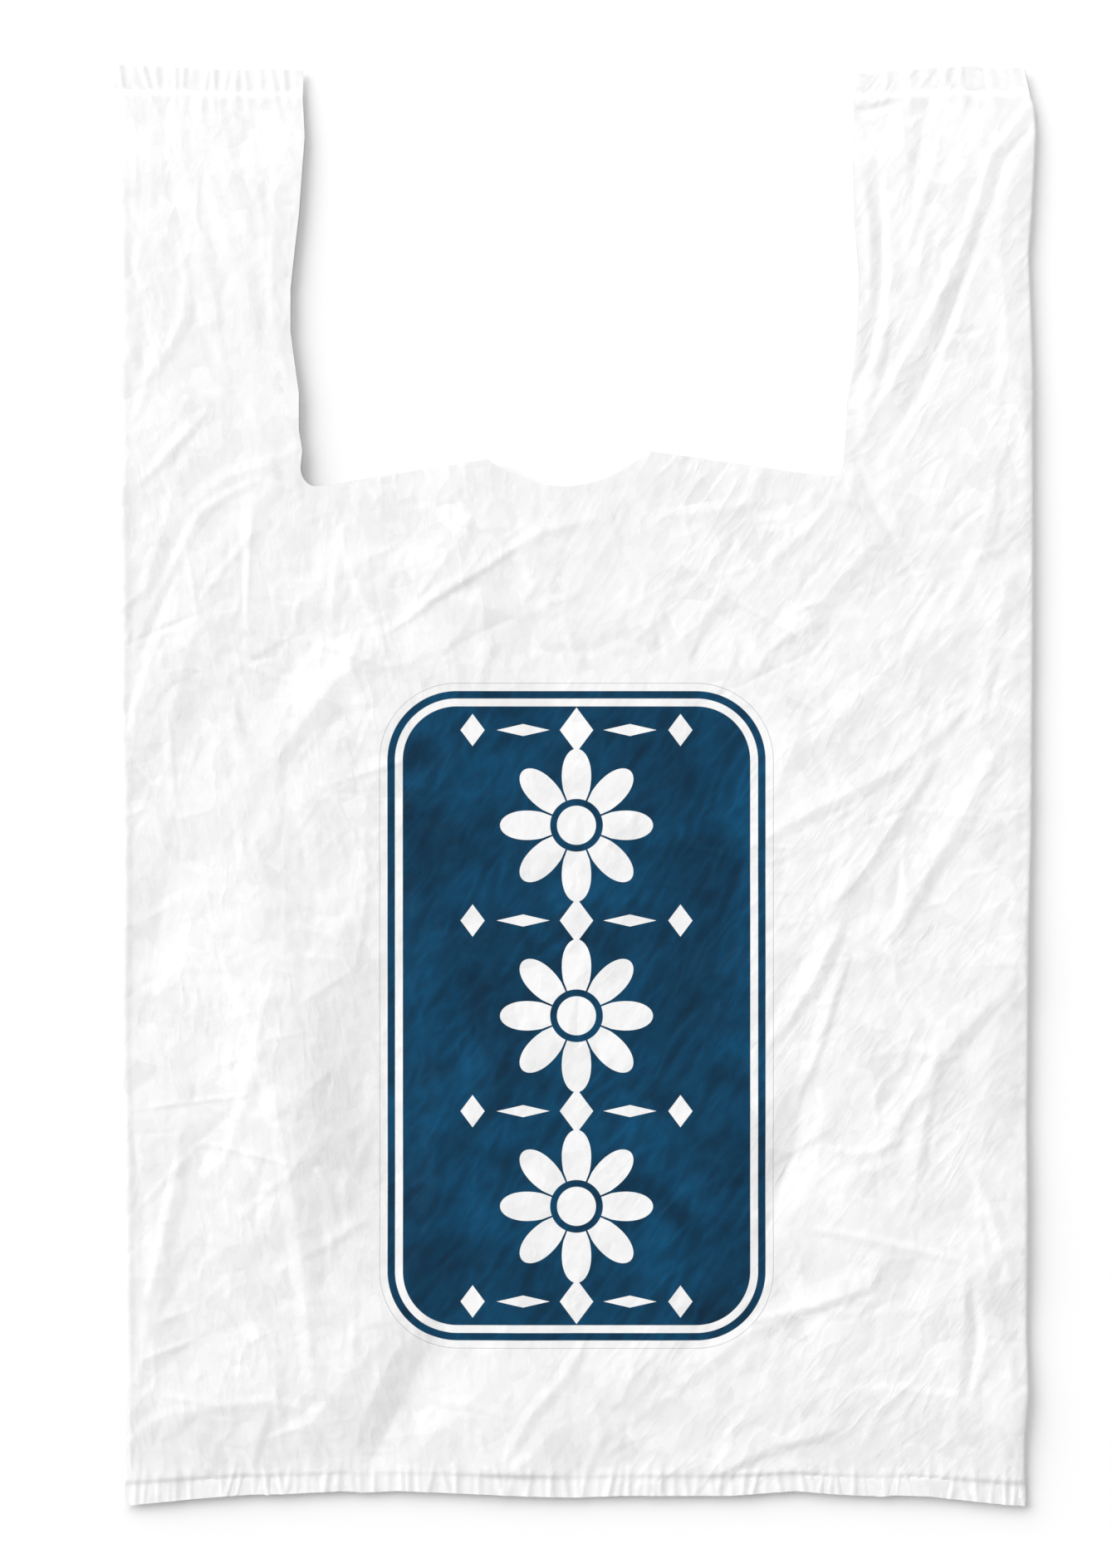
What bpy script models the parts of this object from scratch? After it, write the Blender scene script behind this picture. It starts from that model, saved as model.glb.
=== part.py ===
"""A vest-shaped plastic carrier bag lying flat: one gusseted film tube, welded and die-cut.

The bag is made the way a bag machine makes it. A tube of film with a gusset folded into each
side is welded flat across both ends. One die then cuts the mouth out of the top, which leaves a
handle at each side and two small tips in the middle of the mouth.

The bag lies on its back panel. +X runs across it, +Y runs up to the handles and +Z comes out of
the front panel. The middle of its underside is at the origin. Lengths are in metres.
"""

import math

import bmesh
import bpy
from mathutils import Matrix

OBJECT_NAME = "carrier_bag"

# Driving dimensions of the bag.
WIDTH = 0.316  # across the folded tube
LENGTH = 0.500  # from the bottom weld's edge to the top of the handles
GUSSET_DEPTH = 0.080  # each side's fold, measured in from the side
MOUTH_DEPTH = 0.1465  # from the top of the handles down to the mouth's corners
HANDLE_WIDTH = 0.061
BOTTOM_WELD = 0.006
HANDLE_WELD = 0.0085

# The mouth's cut edge.
CORNER_RADIUS = 0.006  # where a handle meets the mouth
TIP_HALF_GAP = 0.028  # from the middle of the bag to each tip
TIP_RISE = 0.0105  # from the mouth's corners up to the tips
NOTCH_DROP = 0.0105  # from the tips down to the middle of the hollow between them
ARC_STEPS = 8  # straight runs in each rounded corner
NOTCH_STEPS = 24

# The film, thickened so that it is a solid. Real film is about 0.016 mm.
FILM = 0.0004
LAYER_GAP = 0.0006  # air between two layers that lie on each other
LAYERS = 4  # front, two gusset leaves, back
FOLD_STEPS = 6  # straight runs round each fold
WELD_LAND = 0.0012  # thickness of the flat pressed part of a weld
WELD_TAPER = 0.0025  # run over which the layers close up to that
WELD_LAP = 0.001  # how far a weld reaches in between the layers

PITCH = FILM + LAYER_GAP  # from the middle of one layer to the middle of the next
STACK = LAYERS * FILM + (LAYERS - 1) * LAYER_GAP
FOLD_RADIUS = PITCH / 2
HALF_WIDTH = WIDTH / 2
HALF_LENGTH = LENGTH / 2
MOUTH_HALF_WIDTH = HALF_WIDTH - HANDLE_WIDTH
MOUTH_CORNER_Y = HALF_LENGTH - MOUTH_DEPTH


def clear_scene():
    """Remove every object that the file opened with."""
    for item in list(bpy.data.objects):
        bpy.data.objects.remove(item, do_unlink=True)


def new_collection(name):
    """Return a new collection, linked to the scene."""
    made = bpy.data.collections.new(name)
    bpy.context.scene.collection.children.link(made)
    return made


def arc(centre, radius, start, end, steps):
    """Return steps + 1 points of an arc in a plane, with its angles in degrees."""
    angles = [math.radians(start + (end - start) * i / steps) for i in range(steps + 1)]
    return [(centre[0] + radius * math.cos(a), centre[1] + radius * math.sin(a)) for a in angles]


def tube_half_section():
    """Return the (x, z) middle line of the tube's right half, from the front panel to the back.

    The front panel is on top. The line runs out along it, in and out again round the gusset, and
    back along the back panel, with a half round at each of the three folds.
    """
    middles = [STACK - FILM / 2 - PITCH * layer for layer in range(LAYERS)]
    fold_x = HALF_WIDTH - FILM / 2 - FOLD_RADIUS
    gusset_x = HALF_WIDTH - GUSSET_DEPTH
    front_fold = arc((fold_x, middles[0] - FOLD_RADIUS), FOLD_RADIUS, 90, -90, FOLD_STEPS)
    inner_fold = arc((gusset_x, middles[1] - FOLD_RADIUS), FOLD_RADIUS, 90, 270, FOLD_STEPS)
    back_fold = arc((fold_x, middles[2] - FOLD_RADIUS), FOLD_RADIUS, 90, -90, FOLD_STEPS)
    return [(0, middles[0]), *front_fold, *inner_fold, *back_fold, (0, middles[3])]


def tube_mesh():
    """Draw the half section where the bottom weld ends and draw it out to the handle welds."""
    bottom = -HALF_LENGTH + BOTTOM_WELD
    top = HALF_LENGTH - HANDLE_WELD
    shape = bmesh.new()
    line = [shape.verts.new((x, bottom, z)) for x, z in tube_half_section()]
    edges = [shape.edges.new(pair) for pair in zip(line, line[1:])]
    drawn = bmesh.ops.extrude_edge_only(shape, edges=edges)["geom"]
    moved = [part for part in drawn if isinstance(part, bmesh.types.BMVert)]
    bmesh.ops.translate(shape, verts=moved, vec=(0, top - bottom, 0))
    bmesh.ops.recalc_face_normals(shape, faces=shape.faces[:])
    mesh = bpy.data.meshes.new(OBJECT_NAME)
    shape.to_mesh(mesh)
    shape.free()
    return mesh


def mouth_outline():
    """Return the (x, y) outline that the die cuts out, round the mouth and past the bag's top."""
    past_top = HALF_LENGTH + 0.01
    corner_x = MOUTH_HALF_WIDTH - CORNER_RADIUS
    corner = arc((corner_x, MOUTH_CORNER_Y + CORNER_RADIUS), CORNER_RADIUS, 0, -90, ARC_STEPS)
    right = [(MOUTH_HALF_WIDTH, past_top), *corner]
    left = [(-x, y) for x, y in reversed(right)]
    tip_y = MOUTH_CORNER_Y + TIP_RISE
    radius = (TIP_HALF_GAP**2 + NOTCH_DROP**2) / (2 * NOTCH_DROP)
    spread = math.degrees(math.asin(TIP_HALF_GAP / radius))
    centre = (0, tip_y - NOTCH_DROP + radius)
    notch = arc(centre, radius, -90 + spread, -90 - spread, NOTCH_STEPS)
    return right + notch + left


def weld_outline(land_run):
    """Return a weld's (run, height) section, with run 0 where the open film starts.

    Args:
        land_run: length of the weld from the open film to the bag's edge.
    """
    root = (STACK - FILM) / 2
    land = WELD_LAND / 2
    upper = [(-WELD_LAP, root), (0, root), (WELD_TAPER, land), (land_run, land)]
    return upper + [(run, -height) for run, height in reversed(upper)]


def prism(name, outline, thickness, turn, collection):
    """Make a closed solid from a flat outline, as a hidden cutter.

    Args:
        name: name of the new object.
        outline: points of the outline in its own plane.
        thickness: how far the solid runs, half to each side of that plane.
        turn: matrix that places the solid.
        collection: collection that takes it.
    """
    curve = bpy.data.curves.new(name, "CURVE")
    curve.dimensions = "2D"
    curve.fill_mode = "BOTH"
    curve.extrude = thickness / 2
    spline = curve.splines.new("POLY")
    spline.points.add(len(outline) - 1)
    for point, (x, y) in zip(spline.points, outline):
        point.co = (x, y, 0, 1)
    spline.use_cyclic_u = True
    drawing = bpy.data.objects.new(name + "_outline", curve)
    collection.objects.link(drawing)
    evaluated = drawing.evaluated_get(bpy.context.evaluated_depsgraph_get())
    mesh = bpy.data.meshes.new_from_object(evaluated)
    bpy.data.objects.remove(drawing, do_unlink=True)

    shape = bmesh.new()
    shape.from_mesh(mesh)
    bmesh.ops.remove_doubles(shape, verts=shape.verts[:], dist=0.00001)
    bmesh.ops.transform(shape, matrix=turn, verts=shape.verts[:])
    bmesh.ops.recalc_face_normals(shape, faces=shape.faces[:])
    shape.to_mesh(mesh)
    shape.free()

    solid = bpy.data.objects.new(name, mesh)
    solid.hide_render = True
    solid.display_type = "WIRE"
    collection.objects.link(solid)
    return solid


def weld_bar(name, weld_run, towards, collection):
    """Make the pressed bar that closes one end of the tube.

    Args:
        name: name of the new object.
        weld_run: length of the weld along the bag.
        towards: 1 for the end with the handles, -1 for the bottom.
        collection: collection that takes it.
    """
    length = 2 * (HALF_WIDTH - FILM - FOLD_RADIUS)
    start = towards * (HALF_LENGTH - weld_run)
    # The outline's own axes become the bag's Y and Z, and its thickness runs along X.
    columns = Matrix(((0, 0, 1), (towards, 0, 0), (0, 1, 0))).to_4x4()
    turn = Matrix.Translation((0, start, STACK / 2)) @ columns
    return prism(name, weld_outline(weld_run), length, turn, collection)


def film_material():
    """Return the white film's material."""
    made = bpy.data.materials.new("film")
    made.use_nodes = True
    shader = made.node_tree.nodes["Principled BSDF"]
    shader.inputs["Base Color"].default_value = (0.87, 0.87, 0.87, 1)
    shader.inputs["Roughness"].default_value = 0.42
    shader.inputs["Metallic"].default_value = 0
    return made


def add_boolean(bag, operation, other):
    """Cut or join another solid with the bag."""
    change = bag.modifiers.new(other.name, "BOOLEAN")
    change.operation = operation
    change.solver = "EXACT"
    change.object = other


def build():
    """Build the bag: fold and thicken the tube, weld both ends, then cut the mouth."""
    clear_scene()
    pieces = new_collection(OBJECT_NAME)
    cutters = new_collection("cutters")

    bag = bpy.data.objects.new(OBJECT_NAME, tube_mesh())
    bag.data.materials.append(film_material())
    pieces.objects.link(bag)

    mirror = bag.modifiers.new("other_half", "MIRROR")
    mirror.use_axis = (True, False, False)
    mirror.merge_threshold = 0.0001
    film = bag.modifiers.new("film", "SOLIDIFY")
    film.thickness = FILM
    film.offset = 0

    bottom = weld_bar("bottom_weld", BOTTOM_WELD, -1, cutters)
    top = weld_bar("handle_weld", HANDLE_WELD, 1, cutters)
    level = Matrix.Translation((0, 0, STACK / 2))
    die = prism("mouth_die", mouth_outline(), 4 * STACK, level, cutters)
    add_boolean(bag, "UNION", bottom)
    add_boolean(bag, "UNION", top)
    add_boolean(bag, "DIFFERENCE", die)


build()
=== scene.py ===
"""Looks of a vest-shaped plastic carrier bag that lies flat on a pale floor.

The bag is one tube of thin white film with a gusset folded into each side. It is built here the
way a bag machine makes it: the film is drawn as one flat sheet, the die cuts the mouth out of it,
and the sheet is folded round into the tube. The creases of a bag that has been crumpled and
smoothed out again lift the folded film, and a printed panel is inked on its front.

Lengths are in metres. Creases and edge offsets are listed in millimetres and turned to metres
where they are read.
"""

from __future__ import annotations

import logging
import math
from copy import copy
from dataclasses import dataclass
from enum import Enum

import bmesh
import bpy
import numpy as np
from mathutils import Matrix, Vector
from mathutils.geometry import delaunay_2d_cdt


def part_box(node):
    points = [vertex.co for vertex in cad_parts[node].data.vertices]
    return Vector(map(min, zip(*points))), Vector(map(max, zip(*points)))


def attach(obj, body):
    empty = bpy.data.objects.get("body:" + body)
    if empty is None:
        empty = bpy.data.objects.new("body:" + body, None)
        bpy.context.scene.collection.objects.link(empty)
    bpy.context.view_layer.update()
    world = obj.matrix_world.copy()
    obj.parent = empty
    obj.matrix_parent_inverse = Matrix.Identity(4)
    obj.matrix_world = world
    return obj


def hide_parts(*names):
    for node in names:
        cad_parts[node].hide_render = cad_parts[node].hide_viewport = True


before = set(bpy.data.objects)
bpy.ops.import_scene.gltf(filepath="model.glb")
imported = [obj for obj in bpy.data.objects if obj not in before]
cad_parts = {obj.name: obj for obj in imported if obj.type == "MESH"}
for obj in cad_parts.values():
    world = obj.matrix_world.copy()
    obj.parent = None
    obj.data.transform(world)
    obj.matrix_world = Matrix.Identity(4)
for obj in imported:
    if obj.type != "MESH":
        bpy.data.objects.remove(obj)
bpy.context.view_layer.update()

log = logging.getLogger("carrier_bag")

NODE = "carrier_bag"
BODY = "root"
MM = 0.001
SEED = 41

Point = tuple[float, float]
Socket = bpy.types.NodeSocket


class Leaf(Enum):
    """The four layers of the folded tube, with the share of the bag's thickness each lies at."""

    FRONT = 1.0
    FRONT_GUSSET = 0.66
    BACK_GUSSET = 0.36
    BACK = 0.04


@dataclass(frozen=True)
class BagSize:
    """Sizes of the flat bag.

    Attributes:
        width: across the folded tube.
        length: from the bottom edge to the top of the handles.
        gusset: depth of the fold in each side.
        handle: width of a handle.
        mouth_depth: from the top of the handles to the mouth's corners.
        corner: radius where a handle meets the mouth.
        tip_gap: from the middle of the mouth to each tip.
        tip_rise: height of the tips over the mouth's corners.
        notch_drop: depth of the hollow between the tips.
        bottom_weld: depth of the weld along the bottom.
        handle_weld: depth of the weld across each handle.
        fold: radius of the folds at the sides.
    """

    width: float
    length: float
    gusset: float = 0.080
    handle: float = 0.061
    mouth_depth: float = 0.1465
    corner: float = 0.006
    tip_gap: float = 0.028
    tip_rise: float = 0.0105
    notch_drop: float = 0.0105
    bottom_weld: float = 0.0068
    handle_weld: float = 0.0082
    fold: float = 0.0008

    @property
    def half_width(self) -> float:
        """Return half the width of the folded tube."""
        return self.width / 2

    @property
    def half_length(self) -> float:
        """Return half the length of the bag."""
        return self.length / 2

    @property
    def mouth_half_width(self) -> float:
        """Return the distance from the bag's middle to a handle's inner edge."""
        return self.half_width - self.handle

    @property
    def corner_y(self) -> float:
        """Return the height along the bag of the mouth's corners."""
        return self.half_length - self.mouth_depth

    def mouth_line(self, across: np.ndarray) -> np.ndarray:
        """Return the height of the mouth's cut edge, from its middle out to the handles.

        Args:
            across: places across the bag.

        Returns:
            The height along the bag of the cut edge at each place.
        """
        out = np.minimum(np.abs(across), self.mouth_half_width)
        tip_y = self.corner_y + self.tip_rise
        radius = (self.tip_gap**2 + self.notch_drop**2) / (2 * self.notch_drop)
        hollow = tip_y - self.notch_drop + radius - np.sqrt(radius**2 - np.minimum(out, self.tip_gap) ** 2)
        corner_x = self.mouth_half_width - self.corner
        share = np.clip((corner_x - out) / (corner_x - self.tip_gap), 0, 1)
        shoulder = self.corner_y + self.tip_rise * share
        into = np.clip(out - corner_x, 0, self.corner)
        rounded = self.corner - np.sqrt(self.corner**2 - into**2)
        return np.where(out < self.tip_gap, hollow, shoulder + rounded)

    def cut_away(self, across: np.ndarray, along: np.ndarray) -> np.ndarray:
        """Return where the die takes the film away.

        Args:
            across: places across the bag.
            along: places along the bag.

        Returns:
            True where the film is cut out.
        """
        return (np.abs(across) < self.mouth_half_width) & (along > self.mouth_line(across))


@dataclass(frozen=True)
class Crease:
    """A crease pressed into the film.

    Attributes:
        path: points that it runs through, in millimetres.
        height: how far it stands up, in millimetres. A valley's is less than nothing.
        left: run of its slope to the left of the path, in millimetres.
        right: run of its slope to the right, in millimetres.
    """

    path: tuple[Point, ...]
    height: float
    left: float
    right: float


@dataclass(frozen=True)
class Swell:
    """A broad rise or hollow in the film, in millimetres: its middle, reach, turn and height."""

    middle: Point
    reach: Point
    turn: float
    height: float


UPPER_CREASES = (
    Crease(((-81, 89), (-79, 80), (-74, 67), (-67, 53), (-60, 29)), 0.5, 9.0, 2.8),
    Crease(((-80, 90), (-83, 74), (-84, 60), (-85, 46)), 0.26, 3.0, 2.2),
    Crease(((-22, 90), (-15, 71), (-4, 54), (5, 39)), 0.5, 10.0, 3.0),
    Crease(((-66, 52), (-57, 58), (-47, 66), (-30, 76), (-20, 83)), 0.42, 3.4, 1.8),
    Crease(((-24, 80), (-10, 88), (8, 92)), 0.3, 3.5, 3.0),
    Crease(((-155, 4), (-152, 25), (-147, 41), (-142, 53)), 0.42, 2.2, 14.0),
    Crease(((-150, 44), (-144, 59), (-138, 73)), -0.4, 3.0, 2.6),
    Crease(((-141, 70), (-134, 86), (-129, 95), (-122, 100), (-110, 106)), 0.34, 2.6, 3.0),
    Crease(((-129, 65), (-119, 78), (-109, 90)), 0.24, 2.2, 2.0),
    Crease(((-150, 64), (-142, 88), (-136, 112)), 0.3, 3.0, 5.0),
    Crease(((-104, 8), (-94, 22), (-83, 36), (-66, 48)), 0.95, 15.0, 9.0),
    Crease(((100, 112), (107, 92), (112, 82), (118, 71)), -0.4, 2.5, 2.5),
    Crease(((60, -22), (78, -12), (92, -4), (112, 6), (137, 28)), 0.5, 5.5, 4.0),
    Crease(((89, -40), (101, -28), (112, -11), (124, 10)), 0.55, 6.0, 4.0),
    Crease(((109, -52), (117, -40), (126, -24), (134, -12), (139, -1), (147, 14)), 0.75, 6.5, 5.0),
    Crease(((110, -50), (112, -38), (113, -25)), -0.36, 2.4, 1.4),
    Crease(((70, -88), (83, -67), (93, -47)), 0.72, 6.5, 4.0),
    Crease(((62, 40), (84, 62), (104, 84)), 0.5, 8.0, 6.0),
    Crease(((56, 66), (74, 82), (94, 99)), 0.3, 3.5, 3.0),
    Crease(((70, 4), (92, 24), (118, 50)), 0.5, 7.0, 7.0),
    Crease(((-32, 68), (-31, 50), (-33, 32)), 0.34, 3.0, 6.0),
    Crease(((-46, 54), (-42, 46), (-41, 38)), 0.16, 1.6, 1.6),
    Crease(((-14, 47), (4, 46), (16, 51), (30, 47)), -0.18, 2.4, 2.4),
    Crease(((-52, 108), (-44, 98), (-36, 94)), -0.26, 2.2, 2.2),
    Crease(((-40, 104), (-36, 92), (-38, 82)), 0.22, 2.0, 2.0),
    Crease(((20, 84), (32, 92), (52, 95), (76, 98)), 0.24, 3.0, 4.0),
    Crease(((130, 60), (140, 80), (146, 104)), 0.4, 4.5, 4.5),
    Crease(((138, 20), (144, 48), (150, 74)), 0.36, 5.0, 4.0),
    Crease(((-118, 24), (-112, 4), (-116, -18)), 0.36, 5.5, 5.5),
    Crease(((-98, 4), (-90, -14), (-88, -36)), 0.4, 5.0, 5.0),
    Crease(((-128, 50), (-120, 36), (-116, 20)), 0.2, 2.4, 2.4),
    Crease(((-104, 70), (-102, 56), (-100, 40)), 0.18, 2.4, 2.4),
)

LOWER_CREASES = (
    Crease(((-125, -50), (-119, -68), (-110, -86)), 0.42, 5.5, 3.0),
    Crease(((-110, -86), (-114, -108), (-121, -130)), 0.4, 5.0, 3.0),
    Crease(((-104, -66), (-108, -78), (-110, -88)), 0.22, 2.0, 2.0),
    Crease(((-110, -86), (-101, -122), (-95, -160), (-91, -212)), 0.7, 8.0, 4.6),
    Crease(((-136, -126), (-141, -148), (-148, -178)), 0.5, 5.0, 3.0),
    Crease(((-137, -188), (-128, -198), (-117, -210)), 0.3, 3.0, 3.0),
    Crease(((-123, -167), (-113, -184), (-103, -204)), 0.5, 6.0, 4.0),
    Crease(((-95, -164), (-84, -158), (-72, -150)), 0.3, 3.0, 2.4),
    Crease(((-71, -238), (-63, -222), (-56, -206), (-47, -189)), -1.2, 10.0, 15.0),
    Crease(((-24, -236), (-15, -219), (-4, -206), (4, -192)), 0.44, 3.4, 3.4),
    Crease(((-50, -214), (-36, -216), (-20, -222)), 0.22, 3.0, 2.4),
    Crease(((48, -242), (64, -233), (84, -227), (92, -224)), 0.6, 9.0, 3.0),
    Crease(((20, -222), (42, -204), (60, -190), (92, -178)), 0.4, 5.0, 4.0),
    Crease(((77, -110), (85, -90), (90, -73), (95, -59)), 0.55, 4.2, 2.0),
    Crease(((108, -126), (117, -110), (127, -94), (139, -81), (151, -69)), 0.8, 9.0, 5.0),
    Crease(((127, -93), (114, -92), (103, -94)), 0.24, 2.2, 2.6),
    Crease(((109, -52), (112, -70), (120, -84)), 0.24, 2.2, 2.2),
    Crease(((127, -96), (121, -118), (117, -146)), 0.55, 3.0, 6.0),
    Crease(((112, -86), (126, -96), (136, -92)), 0.2, 2.0, 2.0),
    Crease(((137, -130), (144, -146), (152, -172)), 0.44, 4.0, 3.0),
    Crease(((84, -154), (100, -157), (113, -160), (136, -165)), 0.36, 2.4, 3.0),
    Crease(((86, -126), (100, -128), (114, -123)), 0.24, 2.4, 2.2),
    Crease(((80, -104), (76, -126), (66, -154)), -1.2, 9.0, 9.0),
    Crease(((-64, -46), (-66, -100), (-63, -164)), -1.7, 18.0, 25.0),
    Crease(((-70, -120), (-80, -140), (-76, -160)), 0.3, 3.4, 3.4),
    Crease(((-158, -231), (-149, -222), (-140, -218), (-128, -217)), 0.34, 3.0, 8.0),
    Crease(((98, -210), (114, -210), (132, -213), (147, -223), (156, -240)), 0.45, 3.0, 9.0),
    Crease(((-142, -212), (-124, -216), (-106, -214), (-88, -219)), 0.26, 2.4, 3.0),
    Crease(((138, -172), (140, -192), (136, -212)), -0.75, 3.0, 4.5),
    Crease(((62, -186), (84, -180), (102, -174), (110, -163)), 0.55, 7.0, 3.0),
    Crease(((-106, -216), (-109, -226), (-112, -238)), 0.35, 2.5, 4.0),
    Crease(((-97, -216), (-93, -226), (-89, -238)), 0.40, 3.0, 4.5),
    Crease(((100, -232), (106, -218), (118, -206)), 0.26, 3.0, 3.0),
    Crease(((4, -240), (10, -226), (6, -212)), 0.26, 3.0, 3.0),
    Crease(((-154, -120), (-150, -146), (-152, -200)), -0.3, 3.4, 4.0),
)

LEFT_HANDLE_CREASES = (
    Crease(((-138, 235), (-134, 211), (-130, 194), (-126, 178), (-123, 160)), 0.34, 3.3, 7.0),
    Crease(((-128, 237), (-122, 229), (-119, 213), (-116, 200), (-111, 187)), 0.30, 3.0, 5.0),
    Crease(((-125, 205), (-119, 187), (-114, 178), (-111, 167), (-110, 146)), 0.36, 4.0, 6.0),
    Crease(((-157, 205), (-155, 180), (-153, 160), (-151, 138)), 0.34, 3.6, 3.0),
    Crease(((-146, 230), (-146, 200), (-149, 175), (-152, 148)), 0.30, 7.0, 4.0),
    Crease(((-137, 192), (-134, 178), (-135, 162), (-140, 152), (-146, 143), (-152, 126)), 0.34, 3.6, 2.2),
    Crease(((-106, 233), (-105, 200), (-104, 167), (-100, 144), (-95, 128)), 0.32, 6.0, 2.4),
    Crease(((-147, 166), (-144, 152), (-151, 134)), 0.22, 2.4, 2.6),
    Crease(((-131, 164), (-122, 142), (-111, 124)), -0.30, 3.2, 3.5),
    Crease(((-150, 104), (-135, 121), (-127, 130)), 0.34, 3.2, 2.6),
    Crease(((-114, 236), (-112, 214), (-108, 196), (-107, 180)), 0.20, 2.4, 3.0),
    Crease(((-152, 238), (-151, 216), (-152, 196)), 0.20, 3.0, 3.0),
    Crease(((-134, 96), (-122, 106), (-108, 111), (-96, 118)), 0.26, 3.2, 3.5),
    Crease(((-112, 128), (-106, 112), (-104, 98)), 0.22, 3.2, 3.5),
)

RIGHT_HANDLE_CREASES = (
    Crease(((156, 236), (143, 218), (137, 192), (124, 166), (113, 145), (103, 124)), 0.55, 6.6, 2.8),
    Crease(
        ((159, 234), (148, 217), (140, 190), (132, 169), (127, 154), (119, 134), (109, 117)), -0.55, 2.8, 5.6
    ),
    Crease(((105, 220), (106, 188), (105, 166), (98, 133)), -0.51, 2.8, 4.6),
    Crease(((99, 216), (102, 196), (101, 166)), 0.29, 2.8, 2.8),
    Crease(((126, 224), (121, 202), (115, 187)), 0.34, 3.3, 2.8),
    Crease(((122, 236), (118, 215), (117, 200)), -0.34, 2.8, 2.8),
    Crease(((122, 198), (119, 178), (117, 158)), 0.26, 3.7, 3.3),
    Crease(((97, 235), (106, 236), (114, 238)), -0.34, 1.9, 2.3),
    Crease(((152, 218), (147, 192), (150, 150), (144, 128)), 0.34, 4.6, 4.6),
    Crease(((108, 166), (104, 140), (101, 118)), 0.29, 2.8, 2.8),
    Crease(((131, 156), (136, 157), (141, 158)), -0.26, 1.9, 2.3),
    Crease(((154, 148), (156, 120), (155, 96)), 0.26, 2.8, 2.8),
    Crease(((118, 126), (132, 134), (142, 144)), 0.17, 3.7, 3.7),
)

SIDE_CREASES = (
    Crease(((-155.4, -236), (-155.6, -170), (-155.2, -110)), 0.40, 2.4, 2.2),
    Crease(((-155.0, -122), (-155.5, -60), (-155.2, 20)), 0.45, 2.4, 2.0),
    Crease(((-155.6, 8), (-155.2, 60), (-155.6, 110)), 0.42, 2.2, 2.2),
    Crease(((-155.4, 98), (-155.0, 160), (-155.2, 236)), 0.30, 2.4, 2.6),
    Crease(((154.0, -236), (154.6, -150), (154.2, -60)), -0.10, 2.6, 2.2),
    Crease(((154.4, -70), (154.0, 20), (154.6, 110)), -0.10, 2.6, 2.2),
)

SWELLS = (
    Swell((-103, -100), (19, 66), 6, 3.3),
    Swell((-72, -132), (13, 36), 5, -1.0),
    Swell((76, -134), (14, 26), -20, -1.0),
    Swell((-48, -208), (14, 26), -25, -1.4),
    Swell((10, 66), (34, 20), 20, -0.7),
    Swell((-34, 76), (30, 16), 35, 0.8),
    Swell((108, -80), (26, 50), -30, 0.8),
    Swell((146, -196), (10, 26), -10, -0.8),
    Swell((-140, 0), (14, 70), -4, -0.5),
    Swell((-118, 168), (20, 50), 14, 0.5),
    Swell((128, 190), (18, 60), -20, 0.6),
)


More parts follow.
